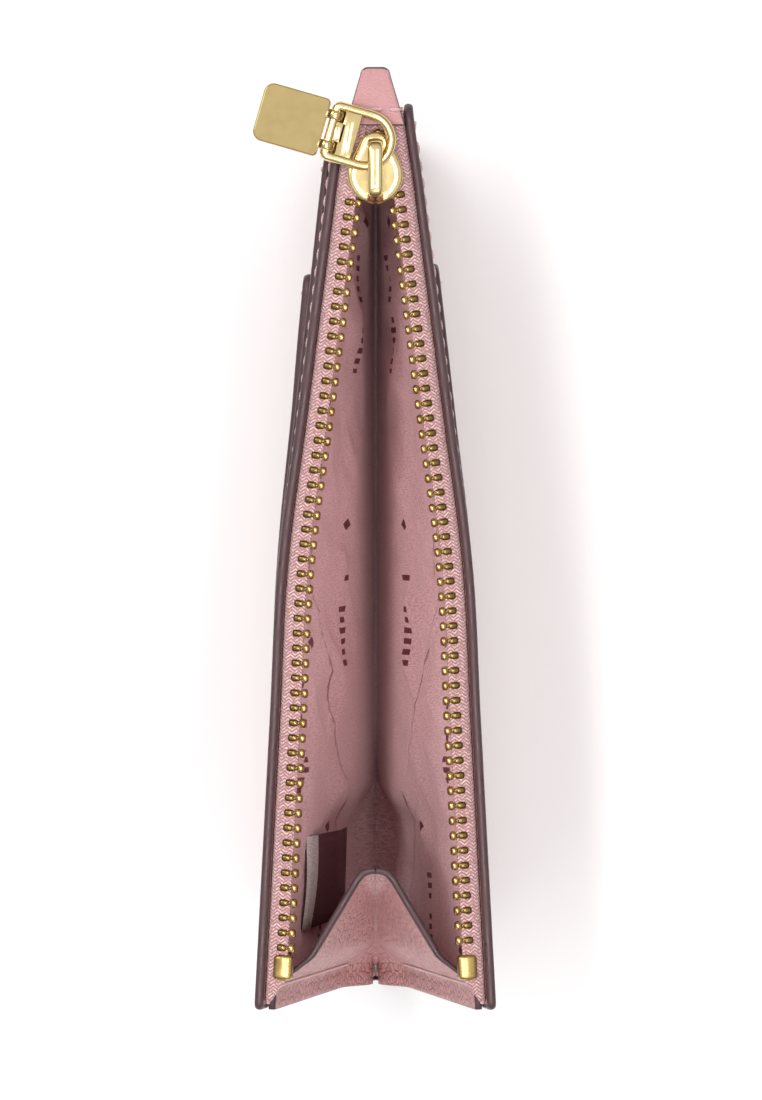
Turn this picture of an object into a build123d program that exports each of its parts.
from build123d import *
from math import atan2, cos, degrees, radians, sin, tan
import os

# A slim top-zip card wallet that stands on its bottom fold with the mouth up.
# X runs across the wallet (-X is the front, with the card pocket), Y runs along the zip
# (+Y is the far end, where the slider rests when the mouth is open), Z is up.
# The origin is the middle of the bottom fold.  All sizes are in millimetres.

# ---- driving dimensions -------------------------------------------------------------
length = 127.0            # along the zip
height = 88.0             # bottom fold to the top edge
channel_height = 6.0      # straight part of the bottom fold, which never opens
inner_half_gap = 3.5      # half the room between the linings when the wallet is shut
lining_thickness = 0.4
leather_thickness = 1.25
pocket_thickness = 1.2
card_block_thickness = 1.5
layer_gap = 0.05          # between two layers that lie against each other
fold_gap = 0.5            # each panel stops this far short of a fold line
middle_from_far_end = 65.0  # where the second fold line meets the top edge
middle_half_mouth = 12.4  # from the middle plane to the leather, at that place
end_half_mouth = 15.7     # the same at the near end, over the gusset

pocket_from_far_end = 6.0
back_pocket_from_far_end = 22.0
card_block_from_far_end = 23.0
front_pocket_drop = 10.0  # the pockets' open edges below the top edge
back_pocket_drop = 11.0
card_block_drop = 22.0
pocket_rise = 3.0         # the pockets start this far above the bottom channel
lining_drop = 3.0
lining_margin = 4.0

end_strip_depth = 3.2     # the strip sewn in at the far end, along Y

gusset_width = 24.5       # one arm, at its top
gusset_thickness = 1.2
gusset_drop = 3.6         # top of the gusset below the top edge
gusset_inner_face = 1.5   # from the middle plane when the wallet is shut
gusset_rest_gap = 0.4     # between an arm's centre edge and the middle plane when open
gusset_margin = 3.4       # sewn flange
gusset_relief = 7.0       # the arms start this far above the corner

tooth_pitch = 2.09
tooth_thickness = 1.0
tooth_length = 2.7
tooth_height = 1.7
tooth_reach = 0.45        # past the middle plane when the zip is shut
tape_thickness = 0.5
tape_top = 0.2            # below the top edge
tape_grip = 0.05          # between the teeth's roots and the tape
stop_length = 3.6
stop_width = 2.5
stop_from_far_end = 119.0

slider_length = 9.9
slider_width = 7.8
slider_centre = 54.4      # along Y, at rest
slider_plate = 1.15
slider_clearance = 0.25   # over the teeth and under the leather edge
lower_plate_width = 6.0
bridge_width = 1.8
bridge_thickness = 1.3
bridge_room = 1.75        # under the bridge
wire_radius = 0.68
pull_angle = 164.0        # the pull's direction on the wallet's top, from +X
loop_half_width = 3.6
loop_length = 8.6
plate_length = 9.4
plate_width = 8.3
plate_thickness = 1.0
plate_gap = 0.35          # from the loop's wire to the plate's edge
knuckle_width = 1.7
knuckle_wall = 0.62
bar_width = 2.0           # the flat bar across the loop
bar_clearance = 0.35
pin_clearance = 0.08

label_width = 13.5        # along the zip
label_depth = 20.0
label_thickness = 0.3
label_low = 33.0          # above the bottom channel
label_margin = 0.9        # from the second fold line

tab_width = 8.3
tab_tip_width = 4.4
tab_overhang = 5.0        # past the far end
tab_length = 8.2
tab_thickness = 1.1
thread_width = 0.5
thread_length = 2.0
stitch_pitch = 2.6
stitch_depth = 0.25       # how far a stitch stands on the leather
seam_margin = 2.6

# ---- derived places -----------------------------------------------------------------
corner_y = -length / 2            # every fold line passes through this low corner
wall = height - channel_height    # height of the panels above the corner
lining_face = inner_half_gap
leather_face = lining_face + lining_thickness + layer_gap
pocket_face = leather_face + leather_thickness + layer_gap
card_block_face = pocket_face + pocket_thickness + layer_gap
hinge_x = leather_face + leather_thickness / 2
gusset_hinge = gusset_inner_face + gusset_thickness / 2
flange_face = gusset_inner_face + gusset_thickness + layer_gap
inner_line = degrees(atan2(wall, length))
outer_line = degrees(atan2(wall, length - middle_from_far_end))
end_line = 90.0
wedge_reach = 3 * length
root_zone = (-30.0, inner_line)
inner_zone = (inner_line, outer_line)
outer_zone = (outer_line, end_line + 30)
plate_bottom = height - tape_top - tape_thickness / 2 + tooth_height / 2 + slider_clearance
plate_top = plate_bottom + slider_plate
lower_plate_top = height - tape_top - tape_thickness / 2 - tooth_height / 2 - slider_clearance
bridge_bottom = plate_top + bridge_room
wire_height = plate_top + bridge_room / 2
slider_near = slider_centre - slider_length / 2
slider_far = slider_centre + slider_length / 2
far_leg_y = slider_far - 1.6
near_leg_y = slider_near + 0.9


def folded(plane, line, angle):
    """The plane turned by angle about a line through its origin, which lies in it."""
    turn = Axis((0, 0, 0), plane.x_dir * cos(radians(line)) + plane.y_dir * sin(radians(line)))
    return Plane(plane.origin, x_dir=plane.x_dir.rotate(turn, angle), z_dir=plane.z_dir.rotate(turn, angle))


def wall_plane(side):
    return Plane(origin=(side * hinge_x, corner_y, channel_height), x_dir=(0, 1, 0), z_dir=(1, 0, 0))


def half_mouth(side, inner_angle, outer_angle, along):
    """How far the leather's inner face stands from the middle plane at the top edge."""
    plane = folded(wall_plane(side), inner_line, side * inner_angle)
    if outer_angle is not None:
        plane = folded(plane, outer_line, side * outer_angle)
    depth = side * (leather_face - hinge_x)
    return side * plane.from_local_coords(Vector(along, wall, depth)).X


def solve(error, low, high):
    """The angle between low and high at which a rising error is zero."""
    for _ in range(50):
        middle = (low + high) / 2
        low, high = (middle, high) if error(middle) < 0 else (low, middle)
    return (low + high) / 2


middle_along = length - middle_from_far_end
inner_fold = solve(lambda a: half_mouth(1, a, None, middle_along) - middle_half_mouth, 0, 40)
outer_fold = solve(lambda a: half_mouth(1, inner_fold, a, 0) - end_half_mouth, -30, 30)


def zone_planes(side):
    root = wall_plane(side)
    inner = folded(root, inner_line, side * inner_fold)
    outer = folded(inner, outer_line, side * outer_fold)
    return {"base": (root, root_zone), "inner": (inner, inner_zone), "outer": (outer, outer_zone)}


def gusset_plane(side, angle):
    outer = zone_planes(side)["outer"][0]
    return folded(outer.offset(side * (gusset_hinge - hinge_x)), end_line, side * angle)


def arm_edge(angle):
    """Where the arm's centre edge stands from the middle plane, at the top."""
    top = Vector(gusset_width, wall - gusset_drop, -gusset_thickness / 2)
    return gusset_plane(1, angle).from_local_coords(top).X


gusset_fold = solve(lambda a: gusset_rest_gap - arm_edge(a), 0, 80)

os.makedirs("parts", exist_ok=True)


def finish(builder, name):
    """Label a finished piece and write it."""
    builder.part.label = name
    export_step(builder.part, f"parts/{name}.step")


def zone_sketch(zone, plane, outline_low, outline_high):
    """A rectangle of the flat pattern, cut to the wedge between two fold lines."""
    with BuildSketch(plane) as sketch:
        with BuildLine():
            start, end = radians(zone[0]), radians(zone[1])
            ray_a = (wedge_reach * cos(start), wedge_reach * sin(start))
            ray_b = (wedge_reach * cos(end), wedge_reach * sin(end))
            Polyline((0, 0), ray_a, ray_b, close=True)
        make_face()
        offset(amount=-fold_gap, kind=Kind.INTERSECTION)
        middle = ((outline_low[0] + outline_high[0]) / 2, (outline_low[1] + outline_high[1]) / 2)
        with Locations(middle):
            size = (outline_high[0] - outline_low[0], outline_high[1] - outline_low[1])
            Rectangle(*size, mode=Mode.INTERSECT)
    return sketch.sketch


def layer(name, side, zone_name, face, thickness, low, high):
    """One flat layer of one panel; low and high are its corners in the flat pattern."""
    plane, zone = zone_planes(side)[zone_name]
    sketch = zone_sketch(zone, plane.offset(side * (face - hinge_x)), low, high)
    with BuildPart() as piece:
        add(sketch)
        extrude(to_extrude=sketch, amount=thickness, dir=plane.z_dir * side, mode=Mode.ADD)
    finish(piece, name)


# ---- the outer leather: the bottom fold with both lower triangles, and two wings a side --
with BuildPart() as outer_base:
    with BuildSketch(Plane.XZ.offset(-length / 2)):
        fold_half = leather_face + leather_thickness
        with Locations((0, channel_height / 2)):
            Rectangle(2 * fold_half, channel_height)
        with Locations((0, leather_thickness + channel_height / 2)):
            Rectangle(2 * leather_face, channel_height, mode=Mode.SUBTRACT)
    extrude(amount=length)
    low_edges = outer_base.edges().filter_by(Axis.Y).group_by(Axis.Z)[0]
    fillet(low_edges, radius=leather_thickness * 0.7)
    for side in (-1, 1):
        plane, zone = zone_planes(side)["base"]
        add(extrude(
            zone_sketch(zone, plane.offset(side * (leather_face - hinge_x)), (0, 0), (length, wall)),
            amount=leather_thickness, dir=plane.z_dir * side, mode=Mode.PRIVATE))
finish(outer_base, "outer_leather_base")

side_names = {-1: "front", 1: "back"}
for side, side_name in side_names.items():
    for zone_name in ("inner", "outer"):
        layer(f"{side_name}_panel_{zone_name}", side, zone_name, leather_face, leather_thickness,
              (0, 0), (length, wall))
    for zone_name in ("base", "inner", "outer"):
        layer(f"{side_name}_lining_{zone_name}", side, zone_name, lining_face, lining_thickness,
              (lining_margin, leather_thickness - channel_height + layer_gap),
              (length - lining_margin, wall - lining_drop))
        pocket_end = pocket_from_far_end if side < 0 else back_pocket_from_far_end
        pocket_drop = front_pocket_drop if side < 0 else back_pocket_drop
        layer(f"{side_name}_slip_pocket_{zone_name}", side, zone_name, pocket_face,
              pocket_thickness, (0, pocket_rise), (length - pocket_end, wall - pocket_drop))
for zone_name in ("base", "inner", "outer"):
    layer(f"card_pocket_{zone_name}", -1, zone_name, card_block_face, card_block_thickness,
          (0, pocket_rise), (length - card_block_from_far_end, wall - card_block_drop))

# ---- the gusset: two arms that meet on the centre fold, and their sewn flanges ----------
gusset_spread = atan2(gusset_width, wall - gusset_drop)
for side, side_name in side_names.items():
    arm_plane = gusset_plane(side, gusset_fold)
    with BuildPart() as gusset_arm:
        with BuildSketch(arm_plane.offset(-gusset_thickness / 2)):
            with BuildLine():
                arm_top = wall - gusset_drop
                low_inner = (gusset_relief * sin(gusset_spread), gusset_relief * cos(gusset_spread))
                Polyline((0, gusset_relief), (0, arm_top), (gusset_width, arm_top), low_inner, close=True)
            make_face()
        extrude(amount=gusset_thickness)
    finish(gusset_arm, f"{side_name}_gusset_arm")

    layer(f"{side_name}_gusset_flange", side, "outer", flange_face,
          leather_face - layer_gap - flange_face, (0, gusset_relief), (gusset_margin, wall - gusset_drop))

# ---- the zip: tapes, teeth and stops -----------------------------------------------------
tape_inner_face = tooth_length - tooth_reach + tape_grip
tape_high = wall - tape_top
tape_low = tape_high - tape_thickness
tooth_middle = tape_high - tape_thickness / 2
tape_end = length - (length / 2 - slider_near) - 0.6


def teeth_group(name, side, zone_name, first, last, phase):
    """A row of teeth, each a shank with a rounded head, between two places along the zip."""
    plane, _ = zone_planes(side)[zone_name]
    count = int((last - first - tooth_thickness) / tooth_pitch)
    head = tooth_thickness / 2
    with BuildPart() as teeth:
        places = [(first + head + phase + tooth_pitch * i, tooth_middle) for i in range(count)]
        with BuildSketch(plane.offset(side * (head - tooth_reach - hinge_x))):
            with Locations(*places):
                Rectangle(tooth_thickness, tooth_height)
        extrude(amount=side * (tooth_length - head))
        with BuildSketch(plane.offset(side * (-tooth_reach - hinge_x))):
            with Locations(*places):
                Rectangle(tooth_thickness * 0.55, tooth_height * 0.8)
        extrude(amount=side * head)
    finish(teeth, name)


# the two rows stand half a pitch apart; each group keeps clear of the fold line
fold_at_top = middle_along
for side, side_name in side_names.items():
    phase = 0 if side < 0 else tooth_pitch / 2
    for zone_name in ("inner", "outer"):
        layer(f"{side_name}_zip_tape_{zone_name}", side, zone_name, tape_inner_face,
              leather_face - layer_gap - tape_inner_face, (1.5, tape_low), (tape_end, tape_high))
    stop_end = length - stop_from_far_end
    teeth_group(f"{side_name}_zip_teeth_outer", side, "outer", stop_end + 0.4, fold_at_top - 1, phase)
    teeth_group(f"{side_name}_zip_teeth_inner", side, "inner", fold_at_top + 1, tape_end, phase)

    outer_plane = zone_planes(side)["outer"][0]
    with BuildPart() as top_stop:
        with BuildSketch(outer_plane.offset(side * (0.1 - hinge_x))):
            with Locations((stop_end - stop_length / 2, tooth_middle)):
                RectangleRounded(stop_length, tooth_height + 0.2, 0.4)
        extrude(amount=side * (tape_inner_face - 0.1 - layer_gap))
    finish(top_stop, f"{side_name}_top_stop")

# the chain behind the slider stays shut
shut_start = slider_far + 0.4
shut_end = length / 2 - 0.6
shut_middle = (shut_start + shut_end) / 2
with BuildPart() as shut_tape:
    with BuildSketch(Plane.XY.offset(channel_height + tape_low)):
        with Locations((0, shut_middle)):
            Rectangle(2 * (leather_face - layer_gap), shut_end - shut_start)
    extrude(amount=tape_thickness)
finish(shut_tape, "zip_tape_shut_end")

# the leather strip that closes the far end between the panels
with BuildPart() as far_end_strip:
    strip_low = leather_thickness + layer_gap
    strip_high = channel_height + tape_low - layer_gap
    with BuildSketch(Plane.XY.offset(strip_low)):
        with Locations((0, length / 2 - end_strip_depth / 2)):
            Rectangle(2 * (leather_face - layer_gap), end_strip_depth)
    extrude(amount=strip_high - strip_low)
finish(far_end_strip, "far_end_strip")

# ---- the leather tab over the far end ----------------------------------------------------
tab_bottom = height + layer_gap
tab_far = length / 2 + tab_overhang
tab_near = tab_far - tab_length
with BuildPart() as end_tab:
    with BuildSketch(Plane.XY.offset(tab_bottom)):
        with BuildLine():
            near, tip = tab_width / 2, tab_tip_width / 2
            Polyline((-near, tab_near), (near, tab_near), (tip, tab_far), (-tip, tab_far), close=True)
        make_face()
        fillet(vertices().group_by(Axis.Y)[-1], radius=1.2)
    extrude(amount=tab_thickness)
finish(end_tab, "zip_end_tab")

with BuildPart() as tab_stitches:
    with BuildSketch(Plane.XY.offset(tab_bottom + tab_thickness)):
        with GridLocations(stitch_pitch, 1, 2, 1):
            with Locations((0, tab_near + 2.0)):
                SlotOverall(thread_length, thread_width)
    extrude(amount=stitch_depth)
finish(tab_stitches, "tab_stitching")

# ---- stitching along the top edges and the gusset, on the outside faces -------------------
for side, side_name in side_names.items():
    outer_plane = zone_planes(side)["outer"][0]
    outside = card_block_face + card_block_thickness if side < 0 else pocket_face + pocket_thickness
    stitch_count = int((wall - card_block_drop - pocket_rise - 2 * gusset_relief) / stitch_pitch)
    with BuildPart() as seam:
        with BuildSketch(outer_plane.offset(side * (outside - hinge_x))):
            first_stitch = pocket_rise + gusset_relief + thread_length
            with Locations(*[(seam_margin, first_stitch + stitch_pitch * i) for i in range(stitch_count)]):
                SlotOverall(thread_length, thread_width, rotation=90)
        extrude(amount=side * stitch_depth)
    finish(seam, f"{side_name}_end_stitching")

# ---- the woven label sewn on the front lining ----------------------------------------------
outer_plane = zone_planes(-1)["outer"][0]
label_high = label_low + label_depth
label_far = label_low / tan(radians(outer_line)) - fold_gap - label_margin
with BuildPart() as label:
    with BuildSketch(outer_plane.offset(-(lining_face - layer_gap - hinge_x))):
        with Locations((label_far - label_width / 2, (label_low + label_high) / 2)):
            Rectangle(label_width, label_depth)
    extrude(amount=label_thickness)
finish(label, "satin_label")

# ---- the slider: pear-shaped upper plate, narrow lower plate, a post and the bridge --------
with BuildPart() as slider_body:
    with BuildSketch(Plane.XY.offset(plate_bottom)):
        with Locations((0, slider_near + slider_width / 2)):
            Circle(slider_width / 2)
        with Locations((0, slider_far - slider_width * 0.3)):
            Circle(slider_width * 0.3)
        make_hull()
    extrude(amount=slider_plate)
    with BuildSketch(Plane.XY.offset(lower_plate_top)):
        with Locations((0, slider_centre)):
            RectangleRounded(lower_plate_width, slider_length, lower_plate_width * 0.4)
    extrude(amount=-slider_plate * 0.8)
    with BuildSketch(Plane.XY.offset(lower_plate_top)):
        with Locations((0, slider_near + 2.2)):
            Ellipse(0.7, 1.5)
    extrude(amount=plate_bottom - lower_plate_top)
    top_rim = slider_body.faces().sort_by(Axis.Z)[-1].edges()
    fillet(top_rim, radius=slider_plate * 0.35)
finish(slider_body, "slider_body")

with BuildPart() as slider_bridge:
    with BuildSketch(Plane.YZ.offset(-bridge_width / 2)):
        bridge_middle = (near_leg_y + far_leg_y) / 2
        bridge_length = far_leg_y - near_leg_y + bridge_thickness
        bridge_high = bridge_room + bridge_thickness
        with Locations((bridge_middle, plate_top + bridge_high / 2)):
            RectangleRounded(bridge_length, bridge_high, 0.9)
        with Locations((bridge_middle, plate_top + bridge_room / 2 - 0.5)):
            Rectangle(bridge_length - 2 * bridge_thickness, bridge_room + 1, mode=Mode.SUBTRACT)
        with Locations((bridge_middle, plate_top - 2)):
            Rectangle(2 * bridge_length, 4, mode=Mode.SUBTRACT)
    extrude(amount=bridge_width)
finish(slider_bridge, "slider_bridge")

# ---- the pull: a round-wire loop round the bridge's far leg, and a plate on two knuckles -----
pull_out = (cos(radians(pull_angle)), sin(radians(pull_angle)), 0)
pull_plane = Plane(origin=(0, far_leg_y, wire_height), x_dir=pull_out, z_dir=(0, 0, 1))
loop_back = -2.2          # the loop's round end, behind the leg
knuckle_outer = wire_radius + pin_clearance + knuckle_wall
pin_along = loop_back + loop_length
with BuildPart() as pull_loop:
    half = loop_half_width
    round_centre = loop_back + half
    arm_plane = Plane(origin=pull_plane.from_local_coords(Vector(round_centre, 0, 0)),
                      x_dir=pull_plane.y_dir, z_dir=pull_plane.x_dir)
    with BuildSketch(arm_plane):
        with Locations((-half, 0), (half, 0)):
            Circle(wire_radius)
    extrude(amount=pin_along - round_centre)
    with BuildSketch(arm_plane):
        with Locations((half, 0)):
            Circle(wire_radius)
    revolve(axis=Axis(arm_plane.origin, pull_plane.z_dir), revolution_arc=180)
    pin_start = pull_plane.from_local_coords(Vector(pin_along, -half - wire_radius, 0))
    with BuildSketch(Plane(origin=pin_start, x_dir=pull_out, z_dir=pull_plane.y_dir)):
        Circle(wire_radius)
    extrude(amount=2 * (half + wire_radius))
    bar_far = pin_along - knuckle_outer - bar_clearance
    with BuildSketch(pull_plane.offset(-plate_thickness / 2)):
        with Locations((bar_far - bar_width / 2, 0)):
            Rectangle(bar_width, 2 * half)
    extrude(amount=plate_thickness)
finish(pull_loop, "pull_loop")

plate_start = pin_along + wire_radius + plate_gap
with BuildPart() as pull_plate:
    with BuildSketch(pull_plane.offset(-plate_thickness / 2)):
        with Locations((plate_start + plate_length / 2, 0)):
            RectangleRounded(plate_length, plate_width, 1.3)
    extrude(amount=plate_thickness)
    for place in (-1, 1):
        centre = place * (loop_half_width - wire_radius - 1.2)
        low_side = centre - knuckle_width / 2
        knuckle_plane = Plane(origin=pull_plane.from_local_coords(Vector(pin_along, low_side, 0)),
                              x_dir=pull_out, z_dir=pull_plane.y_dir)
        with BuildSketch(knuckle_plane):
            Circle(knuckle_outer)
            with Locations((plate_start / 2 - pin_along / 2 + 0.3, 0)):
                Rectangle(plate_start - pin_along + 0.6, plate_thickness)
            Circle(wire_radius + pin_clearance, mode=Mode.SUBTRACT)
        extrude(amount=knuckle_width)
finish(pull_plate, "pull_plate")
